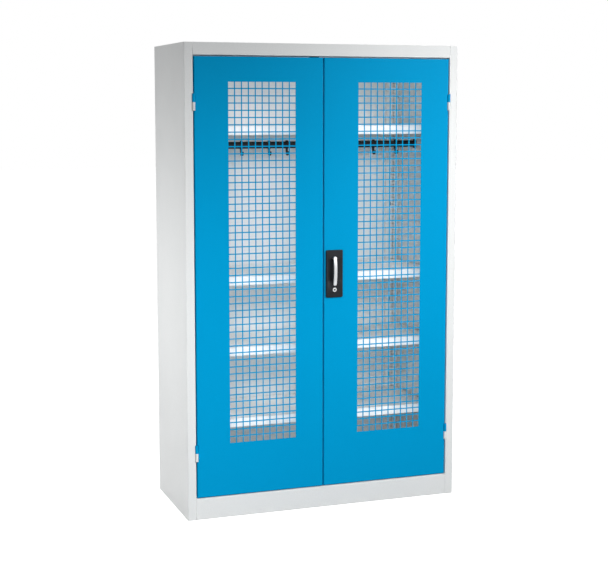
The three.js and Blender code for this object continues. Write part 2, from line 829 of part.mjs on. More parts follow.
addPiece(leftDoor, 'left_door_leaf', doorLeaf(leftLeafEdges, leftLeafBorders), bluePaint);
addPiece(rightDoor, 'right_door_leaf', cutForLock(doorLeaf(rightLeafEdges, rightLeafBorders)), bluePaint);
for (const [word, side] of sides) {
  const door = side < 0 ? leftDoor : rightDoor;
  const centre = side * (leafHingeEdge - stiffenerInset);
  addPiece(door, `${word}_door_stiffener`, doorStiffener(centre), bluePaint);
  for (const [level, height] of [['upper', upperHingeHeight], ['lower', lowerHingeHeight]]) {
    const place = [side * hingeAxis, 0, height];
    addPiece(carcass, `${level}_${word}_frame_hinge`, frameHinge(side), greyPaint, place);
    addPiece(door, `${level}_${word}_door_hinge`, doorHinge(side), bluePaint, place);
  }
}

addPiece(rightDoor, 'handle_plate', handlePlate(), handlePlastic);
const leverPlace = [handleX, 0, leverPivotHeight + leverWidth / 2 - leverLength / 2];
addPiece(rightDoor, 'handle_lever', lever(), silverCast, leverPlace);
addPiece(rightDoor, 'lever_spindle', leverSpindle(), zincSteel);
addPiece(rightDoor, 'rod_cam', rodCam(), zincSteel);
addPiece(rightDoor, 'lock_cylinder', lockCylinder(), silverCast);
addPiece(rightDoor, 'upper_lock_rod', lockRod(1, leafTop - leafSheet), zincSteel);
addPiece(rightDoor, 'lower_lock_rod', lockRod(-1, leafBottom + leafSheet), zincSteel);
addPiece(rightDoor, 'upper_rod_guide', rodGuide(1, leafTop - rodGuideInset), blackPlastic);
addPiece(rightDoor, 'lower_rod_guide', rodGuide(-1, leafBottom + rodGuideInset), blackPlastic);
addPiece(carcass, 'upper_rod_keeper', rodKeeper(1, headerBottom + carcassSheet + touch), zincSteel);
addPiece(carcass, 'lower_rod_keeper', rodKeeper(-1, plinthHeight - carcassSheet - touch), zincSteel);
addPiece(carcass, 'upper_door_catch', magneticCatch(), blackPlastic, [0, 0, interiorTop - catchHeight]);
addPiece(carcass, 'lower_door_catch', magneticCatch(), blackPlastic, [0, 0, interiorBottom]);

// The origin lies under the middle of the whole depth, from the lever's bow to the back
cabinet.position.y = -(cabinetDepth + leverFront) / 2;

export default cabinet;
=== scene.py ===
# A tall steel cabinet with two perforated doors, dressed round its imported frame.
# Lengths in this script are millimetres in the cabinet's own places: x from the middle of the width,
# y back from the front face, z up from the floor. place() turns them into metres of the frame.
# Noise, the lamps outside the cabinet, the lamps' sizes and the camera are in metres of the frame.
import json
import math

import bmesh
import bpy
from mathutils import Matrix, Vector


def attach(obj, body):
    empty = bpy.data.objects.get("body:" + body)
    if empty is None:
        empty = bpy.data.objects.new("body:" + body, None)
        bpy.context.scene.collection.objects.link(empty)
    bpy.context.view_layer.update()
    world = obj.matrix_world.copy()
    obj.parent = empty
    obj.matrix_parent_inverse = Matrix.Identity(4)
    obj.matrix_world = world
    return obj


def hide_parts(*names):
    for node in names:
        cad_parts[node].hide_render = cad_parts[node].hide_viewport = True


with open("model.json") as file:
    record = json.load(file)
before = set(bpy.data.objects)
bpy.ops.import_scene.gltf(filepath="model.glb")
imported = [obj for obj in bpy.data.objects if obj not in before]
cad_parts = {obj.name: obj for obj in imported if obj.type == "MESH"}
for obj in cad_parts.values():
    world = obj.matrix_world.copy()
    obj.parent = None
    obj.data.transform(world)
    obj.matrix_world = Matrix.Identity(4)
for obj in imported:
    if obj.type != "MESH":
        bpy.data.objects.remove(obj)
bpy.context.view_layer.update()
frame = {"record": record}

# Gaps between fixed pieces and round moving ones, and a cutter's reach past what it cuts
TOUCH = 0.3
FREE = 1
PAST = 2

# Carcass
HALF_WIDTH = 600
DEPTH = 500
HEIGHT = 1950
SHEET = 1.5
HEADER_HEIGHT = 50.5
PLINTH_HEIGHT = 88.5
STILE = 36.3
LINING_INSET = 57
STOP_DEPTH = 28
REAR_FLANGE = 40
HEADER_FLANGE = 45
HEADER_LIP = 25
PLINTH_FLANGE = 30
TOP_SKIRT = 20

# Stop angles behind the upper edge of the leaves
STOP_SHEET = 1.2
STOP_FRONT = 27
STOP_LEG = 17
STOP_DROP = 13
STOP_SPANS = {"left": (-542, -62), "right": (-19, 542)}

# Leaves and their punched fields
DOOR_GAP = 5
SPLIT = -8
LEAF_SHEET = 1.2
LEAF_DEPTH = 25
LEAF_LIP = 15
HOLE = 24.5
WEB = 4.63
COLUMNS = 10
ROWS = 51
FIELD_TOP = 99.8
FIELD_BOTTOM = 218.8
LEFT_BORDERS = (140.5, 120.5)
RIGHT_BORDERS = (150.2, 123.9)
STIFFENER_HALF = 20
STIFFENER_DEPTH = 19
STIFFENER_FOOT = 12
STIFFENER_INSET = 44

# Hinges
HINGE_RADIUS = 6.25
HINGE_HALF = 34
HINGE_BEVEL = 0.7
PIN_RADIUS = 3.5
PIN_PLAY = 0.05
PIN_SEAT = 6
PIN_TOP = 28
HINGE_PLATE = 1.5
HINGE_PLATE_FRONT = 3.75
HINGE_PLATE_DEPTH = 22
HINGE_DROP = 182
HINGE_RISE = 187

# Handle plate and its scoop, whose rows give distance from an end wall and share of the depth
HANDLE_INSET = 44
PLATE_CENTRE = 999.5
PLATE_WIDTH = 74
PLATE_HEIGHT = 199
PLATE_DEPTH = 9
PLATE_CORNER = 5
PLATE_CORNER_LOSS = 0.6
PLATE_EDGE = 2.2
PLATE_EDGE_STEPS = 5
PLATE_CORNER_STEPS = 6
RECESS_WIDTH = 62
RECESS_HEIGHT = 98
RECESS_DEPTH = 6.5
RECESS_RISE = 16
RECESS_COLUMNS = 24
RECESS_ROUND = 2.4
RECESS_FOOT = ((0, 0), (1.2, 0.55), (3, 0.93), (6, 1))
RECESS_HEAD = ((5, 1), (2, 0.95), (0.6, 0.6), (0, 0))

# Lever, of a squared oval section: its ends keep a share of the thickness
PIVOT = PLATE_CENTRE + 66
LEVER_LENGTH = 124
LEVER_WIDTH = 15
LEVER_THICKNESS = 6.5
LEVER_BOW = 8
LEVER_AROUND = 28
LEVER_ALONG = 56
LEVER_SQUARED = 0.75
LEVER_END = 0.35
LEVER_TIP = 0.05
SPINDLE_HOLE = 8

# Lock: profiles give radius and distance behind its face, keyways give depth and half their height
LOCK = PLATE_CENTRE - 67.5
LOCK_PROUD = 1.5
LOCK_RADIUS = 7.5
LOCK_REAR = 10.2
LOCK_RING = (
    (LOCK_RADIUS, 1.5), (8.6, 1.5), (8.75, 1.1), (8.5, 0.3), (7.9, 0), (6.4, 0), (5.9, 0.5), (5.7, 0.9),
)
LOCK_STEPS = 48
LOCK_PLATE_HOLE = 7.8
LOCK_LEAF_HOLE = 8.5
KEY_PLUG = ((3.9, 2), (3.9, 0.5), (3.5, 0.15), (2.2, 0.1))
KEY_PLUG_STEPS = 40
KEYWAY_HALF = 0.8
RING_KEYWAY = (5, 3.6)
PLUG_KEYWAY = (1.4, 2.9)
TONGUE_HALF = 4
TONGUE_FRONT = 8.2
TONGUE_LENGTH = 18

# Rods
ROD_INSET = 12
ROD_WIDTH = 10
ROD_FRONT = 10.5
ROD_REAR = 13.5

# Uprights and the plugs in the rear ones
UPRIGHT_SHEET = 1.5
SLOT_PITCH = 15
SLOT_WIDTH = 6
SLOT_HEIGHT = 9
SLOT_MARGIN = 45
REAR_UPRIGHT = 63
REAR_CHANNEL = 12
REAR_SLOT_INSET = 26
FRONT_UPRIGHT = 40
FRONT_RETURN = 15
FRONT_UPRIGHT_DEPTH = 95
PLUG_INSET = 41
PLUG_WIDTH = 5
PLUG_HEIGHT = 18
PLUG_HEAD = 1.8
PLUG_SEAT = 0.2
PLUG_ROUND = 0.6
PLUG_HEIGHTS = (1546, 1248, 805, 448)

# Shelves and their supports
SHELF_SHEET = 1.2
TRAY_PLAY = 3
SHELF_LIP = 38
SHELF_RETURN = 12
SHELF_FRONT = 106
SHELF_TOPS = (1615, 990, 692, 388)
SUPPORT_SHEET = 1.5
SUPPORT_LEG = 20
SUPPORT_GAP = 4

# Rail and hooks: the tip's rows give distance from the end and share of the section
RAIL_HALF_UP = 15
RAIL_HALF_DEEP = 7.5
RAIL_WALL = 1.5
RAIL_CENTRE = 1530
RAIL_DEPTH = 298
RAIL_FLANGE = 10
RAIL_RIM = 5
RING_BEVEL = 1.2
OVAL_STEPS = 40
HOOK_PLACES = (-273, -148, -67, 338, 445)
HOOK_THICKNESS = 10
HOOK_GAP = 0.5
HOOK_WALL = 4.2
HOOK_STEM = 6
HOOK_STRAIGHT = 6
HOOK_DROP = 14
HOOK_BEND = 9
HOOK_RISE = 7
HOOK_TIP = ((2.6, 1), (1, 0.86), (0, 0.5))
HOOK_SQUARED = 0.6
HOOK_AROUND = 16
HOOK_BEND_STEPS = 14

# Rounds on the solids that are carried over
KEPT_ROUNDS = {
    "back_panel": 0,
    "floor_panel": 0,
    "lever_spindle": 0.5,
    "rod_cam": 0.4,
    "upper_lock_rod": 0.4,
    "lower_lock_rod": 0.4,
    "upper_rod_guide": 0.8,
    "lower_rod_guide": 0.8,
    "upper_rod_keeper": 0.3,
    "lower_rod_keeper": 0.3,
    "upper_door_catch": 1.2,
    "lower_door_catch": 1.2,
}

# Fineness and rounding of the meshes
STRAIGHT = 1e-6
WELD = 1e-7
FOLD_STEPS = 5
FACE_INSET = 8
TURN_STEPS = 32
LEAF_HOLE_STEPS = 24
ROUND_SEGMENTS = 2

# Finishes: noise scales are cells to the metre, and bump heights are metres
MIDDLE = (0.3, 0.7)
CLOUD_SCALE = 2.6
SPECK_SCALE = 520
SPECK_BAND = (0.36, 0.5)
SPECK_SHADE = 0.93
COAT_RUB_SCALE = 14
PEEL_SCALE = 260
PEEL_HEIGHT = 0.00008
FINE_SCALE = 900
FINE_HEIGHT = 0.00003
PLASTIC_CLOUD_SCALE = 30
PLASTIC_RUB_SCALE = 45
PLASTIC_GRAIN_HEIGHT = 0.00006
STAIN_SCALE = 18
BRUSH_SCALE = 420
BRUSH_HEIGHT = 0.00003

# Stage
FLOOR_REACH = 30
FLOOR_PLAIN = 0.55
FLOOR_SHOWN = 0.8
FLOOR_GLOW = 0.84
WORLD_STRENGTH = 0.247

# Lamps outside. The front ones give x, aim, watts and spread in degrees,
# and the others give place, aim, size, watts and spread.
FRONT_LAMP_DEPTH = -3
FRONT_LAMP_HEIGHT = 2.3
FRONT_LAMP_SIZE = (0.8, 0.8)
FRONT_LAMPS = (
    ("far_left_softbox", -1.99, (-0.8, -0.238, 0.588), 2.7, 43),
    ("left_softbox", -0.438, (-0.515, -0.238, 0.331), 6.0, 79),
    ("right_softbox", 0.374, (1.765, -0.238, 1.39), 12.9, 78),
    ("far_right_softbox", 2.5, (-0.263, -0.238, 0.786), 11.9, 70),
)
OTHER_LAMPS = (
    ("side_softbox", (-1.75, 0.166, 0.95), (-0.6, 0.166, 0.95), (0.6, 0.6), 8.5, 180),
    ("rear_softbox", (1.1, 3.1, 3), (0, 0.262, 1), (1.4, 1.4), 62, 180),
)

# Lamps inside: one over the whole front, then strips, and one before and one above each shelf.
# The strips give height and watts, and the lamps above the shelves give width.
FILL_FRONT = 60
FILL_HEIGHT = 990
FILL_SIZE = (1.07, 1.76)
FILL_POWER = 1.75
FILL_SPREAD = 110
STRIP_FRONT = 62
STRIP_DROP = 370
STRIP_SIZE = (1.06, 0.1)
STRIP_SPREAD = 140
STRIP_LAMPS = ((1838, 0.45), (882, 0.17), (584, 0.14), (280, 0.11))
LIP_FRONT = 74
LIP_SIZE = (1.07, 0.04)
LIP_POWER = 0.046
SHELF_SPREAD = 120
TRAY_LAMP_DEPTH = 296
TRAY_LAMP_RISE = 60
TRAY_LAMP_REACH = 0.36
TRAY_LAMP_FULL = 1060
TRAY_LAMP_WIDTHS = (530, TRAY_LAMP_FULL, 530, 530)
TRAY_LAMP_POWER = 0.22

# Camera, with its focal length in pixels of the image
CAMERA_PLACE = (-1.944, -5.3909, 1.7)
CAMERA_PITCH = 6.374
CAMERA_TURN = 19.742
IMAGE_WIDTH = 608
FOCAL_PIXELS = 1327.8
SENSOR_WIDTH = 36
LENS_SHIFT = -0.05
CLIP_END = 100

# Places worked out from the sizes above
LEVER_FRONT = PLATE_DEPTH + TOUCH + LEVER_BOW + LEVER_THICKNESS
SHIFT = -(DEPTH - LEVER_FRONT) / 2
STILE_EDGE = HALF_WIDTH - STILE
BETWEEN = STILE_EDGE - TOUCH
SKIN_INSIDE = HALF_WIDTH - SHEET
LINING_FACE = HALF_WIDTH - LINING_INSET
BACK_FRONT = DEPTH - 2 * SHEET - TOUCH
INTERIOR_REAR = BACK_FRONT - TOUCH
FLOOR_UNDER = PLINTH_HEIGHT + TOUCH
INTERIOR_BOTTOM = FLOOR_UNDER + SHEET + TOUCH
HEADER_BOTTOM = HEIGHT - HEADER_HEIGHT
INTERIOR_TOP = HEADER_BOTTOM - TOUCH
UPRIGHT_OUTSIDE = LINING_FACE - TOUCH
UPRIGHT_INSIDE = UPRIGHT_OUTSIDE - UPRIGHT_SHEET
SUPPORT_OUTSIDE = UPRIGHT_INSIDE - TOUCH
SHELF_SIDE = SUPPORT_OUTSIDE - SUPPORT_SHEET - TOUCH
UPRIGHT_FRONT = INTERIOR_REAR - REAR_CHANNEL
SHELF_REAR = UPRIGHT_FRONT - TOUCH
LEAF_BOTTOM = PLINTH_HEIGHT + DOOR_GAP
LEAF_TOP = HEADER_BOTTOM - DOOR_GAP
HINGE_AXIS = STILE_EDGE - DOOR_GAP / 2
HINGE_EDGE = HINGE_AXIS - DOOR_GAP / 2
LEFT_LEAF = (-HINGE_EDGE, SPLIT - DOOR_GAP / 2)
RIGHT_LEAF = (SPLIT + DOOR_GAP / 2, HINGE_EDGE)
HINGE_HEIGHTS = {"upper": LEAF_TOP - HINGE_DROP, "lower": LEAF_BOTTOM + HINGE_RISE}
HANDLE_X = RIGHT_LEAF[0] + HANDLE_INSET
LEVER_BACK = -PLATE_DEPTH - TOUCH
LOCK_FACE = -PLATE_DEPTH - TOUCH - LOCK_PROUD
SIDES = (("left", -1), ("right", 1))


# Node materials
def linear(r, g, b):
    """A colour written as eight-bit display values, as linear numbers."""
    values = [(c / 255 / 12.92) if c <= 10 else ((c / 255 + 0.055) / 1.055) ** 2.4 for c in (r, g, b)]
    return (*values, 1)


def tint(colour, share):
    """The colour times a share, held under white."""
    return tuple(min(1.0, c * share) for c in colour[:3]) + (1,)


class Nodes:
    """A material and short ways to add nodes to it."""

    def __init__(self, name):
        self.material = bpy.data.materials.new(name)
        self.material.use_nodes = True
        self.tree = self.material.node_tree
        self.shader = self.tree.nodes["Principled BSDF"]
        self.place = self.add("ShaderNodeTexCoord").outputs["Object"]

    def add(self, kind, **values):
        node = self.tree.nodes.new(kind)
        for key, value in values.items():
            if hasattr(node, key):
                setattr(node, key, value)
            else:
                node.inputs[key.replace("_", " ").title()].default_value = value
        return node

    def link(self, source, target):
        self.tree.links.new(source, target)

    def noise(self, scale, detail, stretch=None):
        """The factor of a noise over the object's places, stretched along an axis if asked."""
        node = self.add("ShaderNodeTexNoise", scale=scale, detail=detail)
        if stretch:
            mapping = self.add("ShaderNodeMapping")
            mapping.inputs["Scale"].default_value = stretch
            self.link(self.place, mapping.inputs["Vector"])
            self.link(mapping.outputs["Vector"], node.inputs["Vector"])
        else:
            self.link(self.place, node.inputs["Vector"])
        return node.outputs["Fac"]

    def ramp(self, source, band, colours):
        """The first colour up to the band, the second one past it, and a blend between."""
        node = self.add("ShaderNodeValToRGB")
        for stop, position, colour in zip(node.color_ramp.elements, band, colours):
            stop.position = position
            stop.color = colour
        self.link(source, node.inputs["Fac"])
        return node.outputs["Color"]

    def cloud(self, source, colour, low, high):
        """The colour, varied between two shares of itself."""
        return self.ramp(source, MIDDLE, (tint(colour, low), tint(colour, high)))

    def rub(self, source, roughness, less, more):
        """Roughness, varied by a factor stretched from its middle range."""
        node = self.add("ShaderNodeMapRange")
        values = (*MIDDLE, roughness - less, roughness + more)
        for key, value in zip(("From Min", "From Max", "To Min", "To Max"), values):
            node.inputs[key].default_value = value
        self.link(source, node.inputs["Value"])
        self.link(node.outputs["Result"], self.shader.inputs["Roughness"])

    def bump(self, source, distance, strength, under=None):
        node = self.add("ShaderNodeBump")
        node.inputs["Distance"].default_value = distance
        node.inputs["Strength"].default_value = strength
        self.link(source, node.inputs["Height"])
        if under is not None:
            self.link(under, node.inputs["Normal"])
        return node.outputs["Normal"]

    def surface(self, colour, normal):
        """Gives the shader its colour and normal, and returns the material."""
        self.link(colour, self.shader.inputs["Base Color"])
        self.link(normal, self.shader.inputs["Normal"])
        return self.material


def powder_coat(name, colour, variation, roughness, grain, specular):
    """Baked powder coat: a fine leathery grain over a slow unevenness, with faint handling marks."""
    nodes = Nodes(name)
    cloud = nodes.cloud(nodes.noise(CLOUD_SCALE, detail=3), colour, 1 - variation, 1 + variation)
    shades = ((SPECK_SHADE, SPECK_SHADE, SPECK_SHADE, 1), (1, 1, 1, 1))
    speck = nodes.ramp(nodes.noise(SPECK_SCALE, detail=1), SPECK_BAND, shades)
    mix = nodes.add("ShaderNodeMix", data_type="RGBA", blend_type="MULTIPLY")
    mix.inputs["Factor"].default_value = 1
    nodes.link(cloud, mix.inputs["A"])
    nodes.link(speck, mix.inputs["B"])
    nodes.rub(nodes.noise(COAT_RUB_SCALE, detail=4), roughness, less=0.05, more=0.07)
    nodes.shader.inputs["Specular IOR Level"].default_value = specular
    peel = nodes.bump(nodes.noise(PEEL_SCALE, detail=2), PEEL_HEIGHT, grain)
    fine = nodes.bump(nodes.noise(FINE_SCALE, detail=1), FINE_HEIGHT, grain, under=peel)
    return nodes.surface(mix.outputs["Result"], fine)


def plastic(name, colour, roughness, grain_scale, grain, specular):
    """Moulded plastic: a spark-eroded grain, with polish where hands rub it."""
    nodes = Nodes(name)
    cloud = nodes.cloud(nodes.noise(PLASTIC_CLOUD_SCALE, detail=3), colour, low=0.82, high=1.2)
    nodes.rub(nodes.noise(PLASTIC_RUB_SCALE, detail=4), roughness, less=0.06, more=0.08)
    nodes.shader.inputs["Specular IOR Level"].default_value = specular
    return nodes.surface(cloud, nodes.bump(nodes.noise(grain_scale, detail=2), PLASTIC_GRAIN_HEIGHT, grain))


def metal(name, colour, roughness, stretch, grain, metallic=1.0):
    """Plated or cast metal: a directional grain and slow stains of the plating."""
    nodes = Nodes(name)
    cloud = nodes.cloud(nodes.noise(STAIN_SCALE, detail=4), colour, low=0.86, high=1.08)
    nodes.shader.inputs["Metallic"].default_value = metallic
    brushed = nodes.noise(BRUSH_SCALE, detail=3, stretch=stretch)
    nodes.rub(brushed, roughness, less=0.07, more=0.1)
    return nodes.surface(cloud, nodes.bump(brushed, BRUSH_HEIGHT, grain))


FINISHES = {
    "grey_paint": powder_coat("grey_powder_coat", linear(230, 232, 232),
                              variation=0.008, roughness=0.46, grain=0.35, specular=0.25),
    "blue_paint": powder_coat("blue_powder_coat", linear(0, 154, 209),
                              variation=0.012, roughness=0.42, grain=0.35, specular=0.02),
    "black_plastic": plastic("black_plastic", linear(26, 28, 30),
                             roughness=0.5, grain_scale=900, grain=0.3, specular=0.3),
    "handle_plastic": plastic("handle_plastic", linear(24, 26, 30),
                              roughness=0.36, grain_scale=700, grain=0.2, specular=0.2),
    "silver_cast": metal("silver_casting", linear(214, 215, 216),
                         roughness=0.34, stretch=(1, 1, 0.25), grain=0.25, metallic=0.35),
    "zinc_steel": metal("zinc_plate", linear(186, 189, 192),
                        roughness=0.36, stretch=(1, 1, 0.08), grain=0.4),
}
STEEL = metal("bare_pin_steel", linear(150, 152, 154), roughness=0.28, stretch=(1, 1, 0.1), grain=0.3)


# Meshes
def place(x, y, z):
    return Vector((x, y + SHIFT, z)) / 1000


def add_object(name, data):
    made = bpy.data.objects.new(name, data)
    bpy.context.collection.objects.link(made)
    return made


def closed_mesh(name, points, faces, weld):
    """A mesh in the frame's metres with its faces turned outwards."""
    mesh = bpy.data.meshes.new(name)
    mesh.from_pydata([place(*p) for p in points], [], faces)
    work = bmesh.new()
    work.from_mesh(mesh)
    if weld:
        bmesh.ops.remove_doubles(work, verts=work.verts, dist=WELD)
    bmesh.ops.recalc_face_normals(work, faces=work.faces)
    work.to_mesh(mesh)
    work.free()
    return mesh


def piece(name, points, faces, slot, body, nodes=(), smooth=None, material=None):
    """A closed mesh that rides on a body and may stand for CAD nodes. Smooth is an angle in degrees."""
    mesh = closed_mesh(name, points, faces, weld=True)
    made = add_object(name, mesh)
    mesh.materials.append(material or FINISHES[slot])
    if smooth:
        mesh.shade_smooth()
        mesh.set_sharp_from_angle(angle=math.radians(smooth))
    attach(made, body)
    if nodes:
        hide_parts(*nodes)
    return made


def rounded_path(path, radius, thickness):
    """The two faces of a folded sheet: the path is one, the sheet lies on its right, folds are rounded."""
    outer = []
    inner = []
    points = [Vector(p) for p in path]
    for i, point in enumerate(points):
        before = (point - points[i - 1]).normalized() if i else (points[1] - point).normalized()
        after = (points[i + 1] - point).normalized() if i + 1 < len(points) else before
        turn = before.x * after.y - before.y * after.x
        right = Vector((before.y, -before.x))
        if abs(turn) < STRAIGHT:
            outer.append(point)
            inner.append(point + right * thickness)
            continue
        clockwise = turn < 0
        bend = radius if clockwise else radius - thickness
        angle = math.acos(max(-1, min(1, before.dot(after))))
        towards = right if clockwise else -right
        centre = point - before * bend * math.tan(angle / 2) + towards * bend
        for k in range(FOLD_STEPS + 1):
            turned = angle * k / FOLD_STEPS * (-1 if clockwise else 1)
            ray = Matrix.Rotation(turned, 2) @ -towards
            outer.append(centre + ray * bend)
            inner.append(centre + ray * (bend - thickness if clockwise else bend + thickness))
    return outer, inner


AXES = {
    "x": lambda u, v, w: (w, u, v),
    "y": lambda u, v, w: (u, w, v),
    "z": lambda u, v, w: (u, v, w),
}


def sheet_mesh(path, thickness, levels, axis, gap=None):
    """A folded sheet run along an axis through the levels. Gap says which of its cells are open."""
    outer, inner = rounded_path(path, 2 * thickness, thickness)
    to_place = AXES[axis]
    count = len(outer)
    points = []
    for face in (outer, inner):
        for level in levels:
            points += [to_place(p.x, p.y, level) for p in face]
    layer = count * len(levels)

    def index(side, i, k):
        return side * layer + k * count + i

    def solid(i, k):
        if not (0 <= i < count - 1 and 0 <= k < len(levels) - 1):
            return False
        return not (gap and gap((outer[i] + outer[i + 1]) / 2, (levels[k] + levels[k + 1]) / 2))

    faces = []
    for k in range(len(levels) - 1):
        for i in range(count - 1):
            if not solid(i, k):
                continue
            ring = [(i, k), (i + 1, k), (i + 1, k + 1), (i, k + 1)]
            faces.append([index(0, *c) for c in ring])
            faces.append([index(1, *c) for c in reversed(ring)])
            beyond = [(i, k - 1), (i + 1, k), (i, k + 1), (i - 1, k)]
            for corner in range(4):
                if not solid(*beyond[corner]):
                    a, b = ring[corner], ring[(corner + 1) % 4]
                    faces.append([index(0, *b), index(0, *a), index(1, *a), index(1, *b)])
    return points, faces


def sheet(name, path, thickness, levels, axis, slot, body, nodes=(), gap=None):
    points, faces = sheet_mesh(path, thickness, levels, axis, gap)
    return piece(name, points, faces, slot, body, nodes)


def mirrored(path, side):
    """A path drawn for the left side, turned round for the right one so that the sheet stays on its right."""
    placed = [(-side * u, v) for u, v in path]
    return placed[::-1] if side > 0 else placed


def pan_mesh(low, high, profile, thickness, to_place, field=None):
    """A rectangular sheet with edges folded all round; the profile gives inset and depth of the edges."""
    outer, inner = rounded_path(profile, 2 * thickness, thickness)
    points = []
    faces = []

    def ring(inset, depth):
        corners = [(low[0] + inset, low[1] + inset), (high[0] - inset, low[1] + inset),
                   (high[0] - inset, high[1] - inset), (low[0] + inset, high[1] - inset)]
        points.extend(to_place(a, b, depth) for a, b in corners)
        return list(range(len(points) - 4, len(points)))

    def join(first, second):
        for i in range(4):
            j = (i + 1) % 4
            faces.append([first[i], first[j], second[j], second[i]])

    ends = []
    for path in (outer, inner):
        rings = [ring(p.x, p.y) for p in path]
        for first, second in zip(rings, rings[1:]):
            join(first, second)
        ends.append((rings[0], rings[-1]))
    join(ends[0][1], ends[1][1])
    if field is None:
        faces.extend([ends[0][0], ends[1][0]])
        return points, faces
    across, up = field
    last_i, last_j = len(across) - 1, len(up) - 1
    grids = []
    for depth, (corner, _) in ((outer[0].y, ends[0]), (inner[0].y, ends[1])):
        start = len(points)
        points.extend(to_place(a, b, depth) for b in up for a in across)

        def at(i, j, start=start):
            return start + j * len(across) + i

        grids.append(at)
        faces.append([corner[0], corner[1]] + [at(i, 0) for i in range(last_i, -1, -1)])
        faces.append([corner[1], corner[2]] + [at(last_i, j) for j in range(last_j, -1, -1)])
        faces.append([corner[2], corner[3]] + [at(i, last_j) for i in range(last_i + 1)])
        faces.append([corner[3], corner[0]] + [at(0, j) for j in range(last_j + 1)])
        for j in range(last_j):
            for i in range(last_i):
                if i % 2 or j % 2:
                    faces.append([at(i, j), at(i + 1, j), at(i + 1, j + 1), at(i, j + 1)])
    for j in range(0, last_j, 2):
        for i in range(0, last_i, 2):
            loop = [(i, j), (i + 1, j), (i + 1, j + 1), (i, j + 1)]
            for a, b in zip(loop, loop[1:] + loop[:1]):
                faces.append([grids[0](*a), grids[0](*b), grids[1](*b), grids[1](*a)])
    return points, faces


def block_mesh(x, y, z):
    points = [(a, b, c) for a in x for b in y for c in z]
    faces = [(0, 1, 3, 2), (4, 6, 7, 5), (0, 4, 5, 1), (2, 3, 7, 6), (0, 2, 6, 4), (1, 5, 7, 3)]
    return points, faces


def ring_faces(rings, around, closed=False):
    """Faces between rings of points. The last ring meets the first one, or both ends get a face."""
    faces = []
    for i in range(rings if closed else rings - 1):
        after = (i + 1) % rings
        for k in range(around):
            n = (k + 1) % around
            faces.append([i * around + k, i * around + n, after * around + n, after * around + k])
    if not closed:
        faces.append(list(range(around))[::-1])
        faces.append([(rings - 1) * around + k for k in range(around)])
    return faces


def circle(steps):
    """The cosine and sine of even steps round a circle."""
    for k in range(steps):
        angle = 2 * math.pi * k / steps
        yield math.cos(angle), math.sin(angle)


def squared(value, power):
    """A cosine or sine pushed outwards, for a section between an oval and a rectangle."""
    return math.copysign(abs(value) ** power, value)


def turned_mesh(profile, centre, axis, steps=TURN_STEPS):
    """A turned form: the profile gives radius and place along the axis, and a flat face closes each end."""
    points = []
    for radius, along in profile:
        for c, s in circle(steps):
            offset = AXES[axis](radius * c, radius * s, along)
            points.append(tuple(a + b for a, b in zip(centre, offset)))
    return points, ring_faces(len(profile), steps)


def bore(radius, span, centre, axis, steps=TURN_STEPS):
    """A plain round cutter."""
    return turned_mesh([(radius, along) for along in span], centre, axis, steps)


def carve(made, cutters, join=False):
    """Cuts closed meshes out of a piece, or joins them to it, and keeps the result as its mesh."""
    points = []
    faces = []
    for more_points, more_faces in cutters:
        base = len(points)
        points.extend(more_points)
        faces.extend([base + i for i in face] for face in more_faces)
    mesh = closed_mesh("cutter", points, faces, weld=False)
    cutter = add_object("cutter", mesh)
    modifier = made.modifiers.new("carve", "BOOLEAN")
    modifier.operation = "UNION" if join else "DIFFERENCE"
    modifier.solver = "EXACT"
    modifier.object = cutter
    result = bpy.data.meshes.new_from_object(made.evaluated_get(bpy.context.evaluated_depsgraph_get()))
    made.modifiers.clear()
    old = made.data
    made.data = result
    bpy.data.meshes.remove(old)
    bpy.data.objects.remove(cutter)
    bpy.data.meshes.remove(mesh)


def soften(made, width, angle=40):
    """Small rounds on the edges of a piece or a carried-over node."""
    modifier = made.modifiers.new("soften", "BEVEL")
    modifier.width = width / 1000
    modifier.segments = ROUND_SEGMENTS
    modifier.limit_method = "ANGLE"
    modifier.angle_limit = math.radians(angle)


def hinge_room(side, height):
    reach = HINGE_RADIUS + FREE
    x = side * HINGE_AXIS
    half = HINGE_HALF + FREE
    return block_mesh((x - reach, x + reach), (-PAST, reach), (height - half, height + half))


def rod_room(side, height):
    x = HANDLE_X + side * (ROD_INSET + ROD_WIDTH / 2)
    half = ROD_WIDTH / 2 + FREE
    depth = (ROD_FRONT - FREE, ROD_REAR + FREE)
    return block_mesh((x - half, x + half), depth, (height - PAST, height + 2 * PAST))


# Carcass sheets
for word, side in SIDES:
    path = [(-STILE_EDGE, STOP_DEPTH - TOUCH), (-STILE_EDGE, 0), (-HALF_WIDTH, 0),
            (-HALF_WIDTH, DEPTH), (REAR_FLANGE - HALF_WIDTH, DEPTH)]
    panel = sheet(f"{word}_side", mirrored(path, side), SHEET, (0, HEADER_BOTTOM, HEIGHT), "z",
                  "grey_paint", "carcass", [f"{word}_side_panel"],
                  gap=lambda p, h: h > HEADER_BOTTOM and p.y > 2 * SHEET and abs(p.x) < STILE_EDGE + TOUCH)
    carve(panel, [hinge_room(side, h) for h in HINGE_HEIGHTS.values()])
    path = [(TOUCH - SKIN_INSIDE, INTERIOR_REAR), (-LINING_FACE, INTERIOR_REAR),
            (-LINING_FACE, STOP_DEPTH), (TOUCH - SKIN_INSIDE, STOP_DEPTH)]
    sheet(f"{word}_inner_wall", mirrored(path, side), SHEET, (INTERIOR_BOTTOM, INTERIOR_TOP), "z",
          "grey_paint", "carcass", [f"{word}_lining"])

